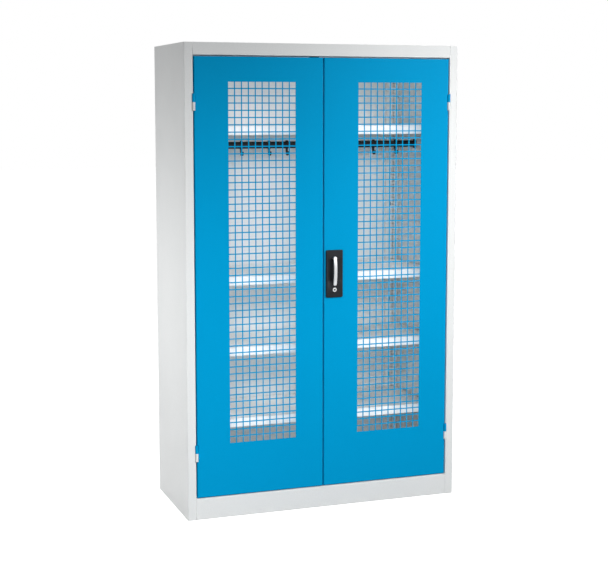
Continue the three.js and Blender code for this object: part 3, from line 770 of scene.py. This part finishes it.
path = [(HEADER_FLANGE, HEADER_BOTTOM + HEADER_LIP), (HEADER_FLANGE, HEADER_BOTTOM),
        (0, HEADER_BOTTOM), (0, HEIGHT)]
header = sheet("header", path, SHEET, (-BETWEEN, BETWEEN), "x", "grey_paint", "carcass", ["header_rail"])
carve(header, [rod_room(1, HEADER_BOTTOM)])
path = [(STOP_FRONT, INTERIOR_TOP - STOP_DROP), (STOP_FRONT, INTERIOR_TOP),
        (STOP_FRONT + STOP_LEG, INTERIOR_TOP)]
for word, span in STOP_SPANS.items():
    sheet(f"{word}_header_stop", path, STOP_SHEET, span, "x", "grey_paint", "carcass")
path = [(PLINTH_FLANGE, 0), (0, 0), (0, PLINTH_HEIGHT), (PLINTH_FLANGE, PLINTH_HEIGHT)]
plinth = sheet("plinth", path, SHEET, (-BETWEEN, BETWEEN), "x", "grey_paint", "carcass", ["front_plinth"])
carve(plinth, [rod_room(-1, PLINTH_HEIGHT)])
path = [(INTERIOR_REAR - PLINTH_FLANGE, PLINTH_HEIGHT), (INTERIOR_REAR, PLINTH_HEIGHT),
        (INTERIOR_REAR, 0), (INTERIOR_REAR - PLINTH_FLANGE, 0)]
sheet("back_plinth", path, SHEET, (-BETWEEN, BETWEEN), "x", "grey_paint", "carcass", ["rear_plinth"])

half = SKIN_INSIDE - TOUCH
points, faces = pan_mesh(
    (-half, SHEET + TOUCH), (half, INTERIOR_REAR), [(FACE_INSET, 0), (0, 0), (0, TOP_SKIRT)], SHEET,
    lambda a, b, depth: (a, b, HEIGHT - depth))
piece("roof", points, faces, "grey_paint", "carcass", ["top_panel"])


# Slotted uprights
def slot_levels():
    levels = [INTERIOR_BOTTOM]
    height = INTERIOR_BOTTOM + SLOT_MARGIN
    while height < INTERIOR_TOP - SLOT_MARGIN:
        levels += [height - SLOT_HEIGHT / 2, height + SLOT_HEIGHT / 2]
        height += SLOT_PITCH
    return levels + [INTERIOR_TOP]


def in_slot(height):
    low = INTERIOR_BOTTOM + SLOT_MARGIN - SLOT_PITCH / 2
    high = INTERIOR_TOP - SLOT_MARGIN + SLOT_PITCH / 2
    along = (height - low) % SLOT_PITCH - SLOT_PITCH / 2
    return low < height < high and abs(along) < SLOT_HEIGHT / 2


for word, side in SIDES:
    slot_x = UPRIGHT_OUTSIDE - REAR_SLOT_INSET
    path = [(REAR_UPRIGHT - UPRIGHT_OUTSIDE, INTERIOR_REAR),
            (REAR_UPRIGHT - UPRIGHT_OUTSIDE, UPRIGHT_FRONT),
            (-slot_x + SLOT_WIDTH / 2, UPRIGHT_FRONT),
            (-slot_x - SLOT_WIDTH / 2, UPRIGHT_FRONT),
            (-UPRIGHT_OUTSIDE, UPRIGHT_FRONT),
            (-UPRIGHT_OUTSIDE, INTERIOR_REAR)]
    sheet(f"rear_{word}_slotted", mirrored(path, side), UPRIGHT_SHEET, slot_levels(), "z",
          "grey_paint", "carcass", [f"rear_{word}_upright"],
          gap=lambda p, h: abs(abs(p.x) - slot_x) < SLOT_WIDTH / 2 and in_slot(h))
    slot_y = FRONT_UPRIGHT_DEPTH + FRONT_UPRIGHT / 2
    path = [(FRONT_RETURN - UPRIGHT_OUTSIDE, FRONT_UPRIGHT_DEPTH),
            (-UPRIGHT_OUTSIDE, FRONT_UPRIGHT_DEPTH),
            (-UPRIGHT_OUTSIDE, slot_y - SLOT_WIDTH / 2),
            (-UPRIGHT_OUTSIDE, slot_y + SLOT_WIDTH / 2),
            (-UPRIGHT_OUTSIDE, FRONT_UPRIGHT_DEPTH + FRONT_UPRIGHT)]
    sheet(f"front_{word}_slotted", mirrored(path, side), UPRIGHT_SHEET, slot_levels(), "z",
          "grey_paint", "carcass", [f"front_{word}_upright"],
          gap=lambda p, h: abs(p.y - slot_y) < SLOT_WIDTH / 2 and in_slot(h))
    for i, height in enumerate(PLUG_HEIGHTS, 1):
        x = side * (UPRIGHT_OUTSIDE - PLUG_INSET)
        half_x, half_z = PLUG_WIDTH / 2, PLUG_HEIGHT / 2
        depth = (UPRIGHT_FRONT - PLUG_HEAD, UPRIGHT_FRONT - PLUG_SEAT)
        head = block_mesh((x - half_x, x + half_x), depth, (height - half_z, height + half_z))
        plug = piece(f"{word}_upright_plug_{i}", *head, "black_plastic", "carcass")
        soften(plug, PLUG_ROUND, angle=30)


# Shelves and their supports
for i, top in enumerate(SHELF_TOPS, 1):
    points, faces = pan_mesh(
        (TRAY_PLAY - SHELF_SIDE, SHELF_FRONT), (SHELF_SIDE - TRAY_PLAY, SHELF_REAR),
        [(FACE_INSET, 0), (0, 0), (0, SHELF_LIP), (SHELF_RETURN, SHELF_LIP)], SHELF_SHEET,
        lambda a, b, depth, top=top: (a, b, top - depth))
    piece(f"shelf_tray_{i}", points, faces, "grey_paint", "carcass", [f"shelf_{i}"])
    seat = top - SHELF_LIP - TOUCH
    path = [(SUPPORT_LEG - SUPPORT_OUTSIDE, seat - SUPPORT_SHEET), (-SUPPORT_OUTSIDE, seat - SUPPORT_SHEET),
            (-SUPPORT_OUTSIDE, seat + SUPPORT_LEG)]
    for word, side in SIDES:
        sheet(f"shelf_{i}_{word}_angle", mirrored(path, side), SUPPORT_SHEET,
              (SHELF_FRONT + SUPPORT_GAP, SHELF_REAR), "y",
              "zinc_steel", "carcass", [f"shelf_{i}_{word}_support"])


# Doors
def hole_edges(low, high, count):
    """The two edges of each hole along a side of the field, which is centred between its borders."""
    size = count * (HOLE + WEB) - WEB
    first = (low + high - size) / 2
    edges = []
    for k in range(count):
        start = first + k * (HOLE + WEB)
        edges += [start, start + HOLE]
    return edges


def door(word, side, edges, borders, cuts):
    across = hole_edges(edges[0] + borders[0], edges[1] - borders[1], COLUMNS)
    up = hole_edges(LEAF_BOTTOM + FIELD_BOTTOM, LEAF_TOP - FIELD_TOP, ROWS)
    points, faces = pan_mesh(
        (edges[0], LEAF_BOTTOM), (edges[1], LEAF_TOP),
        [(FACE_INSET, 0), (0, 0), (0, LEAF_DEPTH), (LEAF_LIP, LEAF_DEPTH)], LEAF_SHEET,
        lambda a, b, depth: (a, depth, b), (across, up))
    leaf = piece(f"{word}_punched_door", points, faces, "blue_paint", f"{word}_door", [f"{word}_door_leaf"])
    carve(leaf, [hinge_room(side, h) for h in HINGE_HEIGHTS.values()] + cuts)
    centre = side * (HINGE_EDGE - STIFFENER_INSET)
    front = LEAF_SHEET + TOUCH
    path = [(centre + STIFFENER_HALF + STIFFENER_FOOT, front),
            (centre + STIFFENER_HALF, front),
            (centre + STIFFENER_HALF, front + STIFFENER_DEPTH),
            (centre - STIFFENER_HALF, front + STIFFENER_DEPTH),
            (centre - STIFFENER_HALF, front),
            (centre - STIFFENER_HALF - STIFFENER_FOOT, front)]
    sheet(f"{word}_hat_stiffener", path, LEAF_SHEET, (LEAF_BOTTOM + front, LEAF_TOP - front), "z",
          "blue_paint", f"{word}_door", [f"{word}_door_stiffener"])


wall = (-PAST, LEAF_SHEET + PAST)
door("left", -1, LEFT_LEAF, LEFT_BORDERS, [])
door("right", 1, RIGHT_LEAF, RIGHT_BORDERS, [
    bore(SPINDLE_HOLE, wall, (HANDLE_X, 0, PIVOT), "y", LEAF_HOLE_STEPS),
    bore(LOCK_LEAF_HOLE, wall, (HANDLE_X, 0, LOCK), "y", LEAF_HOLE_STEPS),
    rod_room(1, LEAF_TOP - LEAF_SHEET),
    rod_room(-1, LEAF_BOTTOM),
])


# Hinge halves with turned barrels
def barrel(radius, low, high, centre):
    profile = [(radius - HINGE_BEVEL, low), (radius, low + HINGE_BEVEL),
               (radius, high - HINGE_BEVEL), (radius - HINGE_BEVEL, high)]
    return turned_mesh(profile, centre, "z")


def hinge_half(name, centre, span, plate_x, hole, slot, body, node):
    """A barrel joined to its plate and bored for the pin."""
    made = piece(name, *barrel(HINGE_RADIUS, *span, centre), slot, body, [node], smooth=35)
    plate_z = (centre[2] + span[0], centre[2] + span[1])
    carve(made, [block_mesh(sorted(plate_x), (HINGE_PLATE_FRONT, HINGE_PLATE_DEPTH), plate_z)], join=True)
    carve(made, [hole])


for word, side in SIDES:
    for level, height in HINGE_HEIGHTS.items():
        centre = (side * HINGE_AXIS, 0, height)
        hole = bore(PIN_RADIUS + PIN_PLAY, (PIN_SEAT - HINGE_HALF, PAST), centre, "z")
        hinge_half(f"{level}_{word}_hinge_socket", centre, (-HINGE_HALF, -TOUCH / 2),
                   [side * (BETWEEN - HINGE_PLATE * k) for k in (0, 1)], hole,
                   "grey_paint", "carcass", f"{level}_{word}_frame_hinge")
        pin = barrel(PIN_RADIUS, PIN_SEAT - HINGE_HALF, PIN_TOP, centre)
        piece(f"{level}_{word}_hinge_pin", *pin, "zinc_steel", "carcass", smooth=35, material=STEEL)
        hole = bore(PIN_RADIUS + TOUCH, (-PAST, PIN_TOP + FREE), centre, "z")
        hinge_half(f"{level}_{word}_hinge_barrel", centre, (TOUCH / 2, HINGE_HALF),
                   [side * (HINGE_EDGE + TOUCH + HINGE_PLATE * k) for k in (0, 1)], hole,
                   "blue_paint", f"{word}_door", f"{level}_{word}_door_hinge")


# Handle plate: rounded outline, rounded rim and a scoop with closed ends
def rounded_rectangle(half_x, half_z, radius):
    corners = []
    for quarter, (sx, sz) in enumerate(((1, -1), (1, 1), (-1, 1), (-1, -1))):
        for k in range(PLATE_CORNER_STEPS + 1):
            angle = math.pi / 2 * (quarter - 1 + k / PLATE_CORNER_STEPS)
            corners.append((sx * (half_x - radius) + radius * math.cos(angle),
                            sz * (half_z - radius) + radius * math.sin(angle)))
    return corners


def handle_plate():
    points = []
    faces = []
    loops = []
    rims = [(0, 0), (0, PLATE_EDGE - PLATE_DEPTH)]
    for k in range(1, PLATE_EDGE_STEPS + 1):
        angle = math.pi / 2 * k / PLATE_EDGE_STEPS
        rims.append((PLATE_EDGE * (1 - math.cos(angle)), PLATE_EDGE * (1 - math.sin(angle)) - PLATE_DEPTH))
    for inset, y in rims:
        outline = rounded_rectangle(PLATE_WIDTH / 2 - inset, PLATE_HEIGHT / 2 - inset,
                                    PLATE_CORNER - inset * PLATE_CORNER_LOSS)
        loops.append(range(len(points), len(points) + len(outline)))
        points += [(HANDLE_X + x, y, PLATE_CENTRE + z) for x, z in outline]
    for first, second in zip(loops, loops[1:]):
        for i in range(len(first)):
            j = (i + 1) % len(first)
            faces.append([first[i], first[j], second[j], second[i]])
    faces.append(list(loops[0])[::-1])
    # scoop: rows across, from its lower end wall to its upper one
    low = PLATE_CENTRE + RECESS_RISE - RECESS_HEIGHT / 2
    high = low + RECESS_HEIGHT
    rows = [(low + rise, share) for rise, share in RECESS_FOOT]
    rows += [(high - drop, share) for drop, share in RECESS_HEAD]
    grid = []
    for z, share in rows:
        row = []
        for k in range(RECESS_COLUMNS + 1):
            across = 2 * k / RECESS_COLUMNS - 1
            dip = (1 - abs(across) ** RECESS_ROUND) * RECESS_DEPTH * share
            row.append(len(points))
            points.append((HANDLE_X + across * RECESS_WIDTH / 2, dip - PLATE_DEPTH, z))
        grid.append(row)
    for first, second in zip(grid, grid[1:]):
        for k in range(RECESS_COLUMNS):
            faces.append([first[k], first[k + 1], second[k + 1], second[k]])
    # front face between the rim and the scoop, in four parts
    rim = list(loops[-1])
    steps = len(rim) // 4
    lower_right, upper_right, upper_left, lower_left = (steps // 2 + steps * k for k in range(4))
    left_side = [row[0] for row in grid]
    right_side = [row[-1] for row in grid]
    faces.append(rim[lower_right:upper_right + 1] + right_side[::-1])
    faces.append(rim[upper_right:upper_left + 1] + grid[-1])
    faces.append(rim[upper_left:lower_left + 1] + left_side)
    faces.append(rim[lower_left:] + rim[:lower_right + 1] + grid[0][::-1])
    return points, faces


plate = piece("handle_escutcheon", *handle_plate(), "handle_plastic", "right_door", ["handle_plate"],
              smooth=32)
through = (-PLATE_DEPTH - PAST, PAST)
carve(plate, [bore(SPINDLE_HOLE, through, (HANDLE_X, 0, PIVOT), "y"),
              bore(LOCK_PLATE_HOLE, through, (HANDLE_X, 0, LOCK), "y")])


# Lever: a bowed bar, full in the middle and round at the ends
def lever_mesh():
    points = []
    centre_z = PIVOT + LEVER_WIDTH / 2 - LEVER_LENGTH / 2
    half = LEVER_LENGTH / 2
    cap = LEVER_WIDTH / 2
    for i in range(LEVER_ALONG + 1):
        share = -math.cos(math.pi * i / LEVER_ALONG)
        z = share * half
        bow = LEVER_BOW * (1 - share ** 2)
        past = max(0.0, abs(z) - (half - cap)) / cap
        wide = max(LEVER_TIP, cap * math.sqrt(max(0.0, 1 - past ** 2)))
        full = LEVER_END + (1 - LEVER_END) * math.sqrt(max(0.0, 1 - past ** 4))
        thick = LEVER_THICKNESS / 2 * full
        for c, s in circle(LEVER_AROUND):
            x = wide * squared(c, LEVER_SQUARED)
            y = thick * squared(s, LEVER_SQUARED)
            points.append((HANDLE_X + x, LEVER_BACK - LEVER_THICKNESS / 2 - bow + y, centre_z + z))
    return points, ring_faces(LEVER_ALONG + 1, LEVER_AROUND)


piece("bowed_lever", *lever_mesh(), "silver_cast", "lever", ["handle_lever"], smooth=50)


# Lock: a bevelled ring with its tongue, a face set back in it and the key slot
def lock_profile(rows):
    return [(radius, LOCK_FACE + behind) for radius, behind in rows]


def keyway(depth, half):
    """A cutter for the key slot: its depth behind the lock's face and half its height."""
    across = (HANDLE_X - KEYWAY_HALF, HANDLE_X + KEYWAY_HALF)
    return block_mesh(across, (LOCK_FACE - PAST, LOCK_FACE + depth), (LOCK - half, LOCK + half))


lock_centre = (HANDLE_X, 0, LOCK)
profile = [(LOCK_RADIUS, LOCK_REAR)] + lock_profile(LOCK_RING)
lock = piece("lock_barrel", *turned_mesh(profile, lock_centre, "y", LOCK_STEPS),
             "silver_cast", "lock", ["lock_cylinder"], smooth=30)
carve(lock, [keyway(*RING_KEYWAY)])
carve(lock, [block_mesh((HANDLE_X - TONGUE_HALF, HANDLE_X + TONGUE_HALF), (TONGUE_FRONT, LOCK_REAR),
                        (LOCK, LOCK + TONGUE_LENGTH))], join=True)
plug = piece("lock_key_plug", *turned_mesh(lock_profile(KEY_PLUG), lock_centre, "y", KEY_PLUG_STEPS),
             "black_plastic", "lock", smooth=30)
carve(plug, [keyway(*PLUG_KEYWAY)])


# Rail, its end flanges and the hooks
def oval(growth):
    """A loop in y and z that stands off the rail's outside by the growth."""
    return [((RAIL_HALF_DEEP + growth) * c, (RAIL_HALF_UP + growth) * s) for c, s in circle(OVAL_STEPS)]


def tube_mesh(outer, inner, centre):
    """Ovals at places along x, each given by place and growth, outside and inside, as one closed form."""
    chain = outer + inner[::-1]
    points = []
    for x, growth in chain:
        points += [(x + centre[0], y + centre[1], z + centre[2]) for y, z in oval(growth)]
    return points, ring_faces(len(chain), OVAL_STEPS, closed=True)


def ring_mesh(half_length, growth, gap, centre):
    """A bevelled ring round the rail: growth is its outside past the rail, gap its inside."""
    shoulder = RING_BEVEL * 0.3
    lead = RING_BEVEL * 0.5
    outer = [(-half_length, growth - RING_BEVEL), (-half_length + shoulder, growth - shoulder),
             (-half_length + RING_BEVEL, growth), (half_length - RING_BEVEL, growth),
             (half_length - shoulder, growth - shoulder), (half_length, growth - RING_BEVEL)]
    inner = [(-half_length, gap + lead), (-half_length + lead, gap),
             (half_length - lead, gap), (half_length, gap + lead)]
    return tube_mesh(outer, inner, centre)


rail_end = LINING_FACE - 2 * TOUCH
outer = [(x, 0) for x in (-rail_end, rail_end)]
inner = [(x, -RAIL_WALL) for x in (-rail_end, rail_end)]
piece("hanging_rail", *tube_mesh(outer, inner, (0, RAIL_DEPTH, RAIL_CENTRE)),
      "black_plastic", "carcass", ["wardrobe_rail"], smooth=40)
for word, side in SIDES:
    x = side * (LINING_FACE - TOUCH - RAIL_FLANGE / 2)
    piece(f"{word}_rail_socket", *ring_mesh(RAIL_FLANGE / 2, RAIL_RIM, TOUCH, (x, RAIL_DEPTH, RAIL_CENTRE)),
          "black_plastic", "carcass", [f"{word}_rail_flange"], smooth=40)


def hook_arm(x):
    """The stem and bend of a hook: a rounded section along a path from the loop to the tip."""
    loop_up = RAIL_HALF_UP + HOOK_GAP + HOOK_WALL
    start = -RAIL_HALF_UP - HOOK_GAP - HOOK_WALL / 2
    bend_height = -loop_up - HOOK_DROP
    path = [(0, start, (0, -1)), (0, bend_height + HOOK_STRAIGHT, (0, -1))]
    for k in range(HOOK_BEND_STEPS + 1):
        angle = -math.pi * k / HOOK_BEND_STEPS
        c, s = math.cos(angle), math.sin(angle)
        path.append((-HOOK_BEND + HOOK_BEND * c, bend_height + HOOK_BEND * s, (s, -c)))
    sizes = [1] * len(path) + [size for _, size in HOOK_TIP]
    tip = bend_height + HOOK_RISE
    path += [(-2 * HOOK_BEND, tip - drop, (0, 1)) for drop, _ in HOOK_TIP]
    points = []
    for (y, z, way), size in zip(path, sizes):
        for c, s in circle(HOOK_AROUND):
            a = squared(c, HOOK_SQUARED) * HOOK_STEM / 2 * size
            b = squared(s, HOOK_SQUARED) * HOOK_THICKNESS / 2 * size
            points.append((x + b, RAIL_DEPTH + y + way[1] * a, RAIL_CENTRE + z - way[0] * a))
    return points, ring_faces(len(path), HOOK_AROUND)


for i, x in enumerate(HOOK_PLACES, 1):
    loop = ring_mesh(HOOK_THICKNESS / 2, HOOK_GAP + HOOK_WALL, HOOK_GAP, (x, RAIL_DEPTH, RAIL_CENTRE))
    made = piece(f"coat_hook_{i}", *loop, "black_plastic", f"hook_{i}", [f"hook_{i}"], smooth=40)
    carve(made, [hook_arm(x)], join=True)

# Carried-over nodes keep their solids and get their finishes, with small rounds on their edges
slots = {entry["node"]: entry["material_slot"] for entry in frame["record"]["subparts"]}
for name, width in KEPT_ROUNDS.items():
    node = bpy.data.objects[name]
    node.data.materials.clear()
    node.data.materials.append(FINISHES[slots[name]])
    if width:
        soften(node, width)


# Floor, world and lamps
def add_shader(tree, kind, level, strength=None):
    """A plain shader of a grey level, and of a strength if it gives light."""
    node = tree.nodes.new(kind)
    node.inputs["Color"].default_value = (level, level, level, 1)
    if strength is not None:
        node.inputs["Strength"].default_value = strength
    return node.outputs[0]


def join_shaders(tree, kind, first, second):
    node = tree.nodes.new(kind)
    shaders = [entry for entry in node.inputs if entry.type == "SHADER"]
    tree.links.new(first, shaders[0])
    tree.links.new(second, shaders[1])
    return node


def background_rays(tree):
    """One for rays that meet the white background: from the camera, off a glossy surface or through glass."""
    path = tree.nodes.new("ShaderNodeLightPath")
    seen = path.outputs["Is Camera Ray"]
    for word in ("Is Glossy Ray", "Is Transmission Ray"):
        more = tree.nodes.new("ShaderNodeMath")
        more.operation = "MAXIMUM"
        tree.links.new(seen, more.inputs[0])
        tree.links.new(path.outputs[word], more.inputs[1])
        seen = more.outputs[0]
    return seen


def split_rays(owner, plain, shown, output):
    """Shows one shader to the background rays and the plain one to all others."""
    tree = owner.node_tree
    mix = join_shaders(tree, "ShaderNodeMixShader", plain, shown)
    tree.links.new(background_rays(tree), mix.inputs["Fac"])
    tree.links.new(mix.outputs[0], tree.nodes.new(output).inputs["Surface"])


def stage_floor():
    corners = [(-FLOOR_REACH, -FLOOR_REACH, 0), (FLOOR_REACH, -FLOOR_REACH, 0),
               (FLOOR_REACH, FLOOR_REACH, 0), (-FLOOR_REACH, FLOOR_REACH, 0)]
    mesh = bpy.data.meshes.new("studio_floor")
    mesh.from_pydata(corners, [], [(0, 1, 2, 3)])
    material = bpy.data.materials.new("studio_floor")
    material.use_nodes = True
    tree = material.node_tree
    tree.nodes.clear()
    plain = add_shader(tree, "ShaderNodeBsdfDiffuse", FLOOR_PLAIN)
    shown = add_shader(tree, "ShaderNodeBsdfDiffuse", FLOOR_SHOWN)
    glow = add_shader(tree, "ShaderNodeEmission", 1, strength=FLOOR_GLOW)
    both = join_shaders(tree, "ShaderNodeAddShader", shown, glow)
    split_rays(material, plain, both.outputs[0], "ShaderNodeOutputMaterial")
    mesh.materials.append(material)
    add_object("studio_floor", mesh)


def studio_world():
    world = bpy.data.worlds.new("studio")
    bpy.context.scene.world = world
    world.use_nodes = True
    world.node_tree.nodes.clear()
    soft = add_shader(world.node_tree, "ShaderNodeBackground", 1, strength=WORLD_STRENGTH)
    white = add_shader(world.node_tree, "ShaderNodeBackground", 1, strength=1)
    split_rays(world, soft, white, "ShaderNodeOutputWorld")


def lamp(name, place_at, aim, size, power, spread):
    data = bpy.data.lights.new(name, "AREA")
    data.shape = "RECTANGLE"
    data.size, data.size_y = size
    data.energy = power
    data.spread = math.radians(spread)
    made = add_object(name, data)
    made.location = place_at
    made.rotation_mode = "QUATERNION"
    made.rotation_quaternion = (Vector(aim) - Vector(place_at)).to_track_quat("-Z", "Y")
    made.visible_camera = False


stage_floor()
studio_world()
for name, x, aim, power, spread in FRONT_LAMPS:
    lamp(name, (x, FRONT_LAMP_DEPTH, FRONT_LAMP_HEIGHT), aim, FRONT_LAMP_SIZE, power, spread)
for values in OTHER_LAMPS:
    lamp(*values)
lamp("interior_fill", place(0, FILL_FRONT, FILL_HEIGHT), place(0, DEPTH, FILL_HEIGHT), FILL_SIZE, FILL_POWER,
     FILL_SPREAD)
for i, (height, power) in enumerate(STRIP_LAMPS, 1):
    lamp(f"strip_fill_{i}", place(0, STRIP_FRONT, height), place(0, DEPTH, height - STRIP_DROP), STRIP_SIZE,
         power, STRIP_SPREAD)
for i, top in enumerate(SHELF_TOPS, 1):
    height = top - SHELF_LIP / 2
    lamp(f"lip_fill_{i}", place(0, LIP_FRONT, height), place(0, DEPTH, height), LIP_SIZE, LIP_POWER,
         SHELF_SPREAD)
for i, (top, width) in enumerate(zip(SHELF_TOPS, TRAY_LAMP_WIDTHS), 1):
    x = (width - TRAY_LAMP_FULL) / 2
    lamp(f"tray_fill_{i}", place(x, TRAY_LAMP_DEPTH, top + TRAY_LAMP_RISE), place(x, TRAY_LAMP_DEPTH, top),
         (width / 1000, TRAY_LAMP_REACH), TRAY_LAMP_POWER * width / TRAY_LAMP_FULL, SHELF_SPREAD)

# Camera: at the photograph's viewing angle, pitched down a little so that the lens needs less shift
camera_data = bpy.data.cameras.new("camera")
camera_data.sensor_width = SENSOR_WIDTH
camera_data.lens = FOCAL_PIXELS / IMAGE_WIDTH * SENSOR_WIDTH
camera_data.shift_y = LENS_SHIFT
camera_data.clip_end = CLIP_END
camera = add_object("camera", camera_data)
camera.location = CAMERA_PLACE
camera.rotation_euler = (math.radians(90 - CAMERA_PITCH), 0, math.radians(-CAMERA_TURN))
bpy.context.scene.camera = camera
bpy.context.scene.view_settings.view_transform = "Standard"
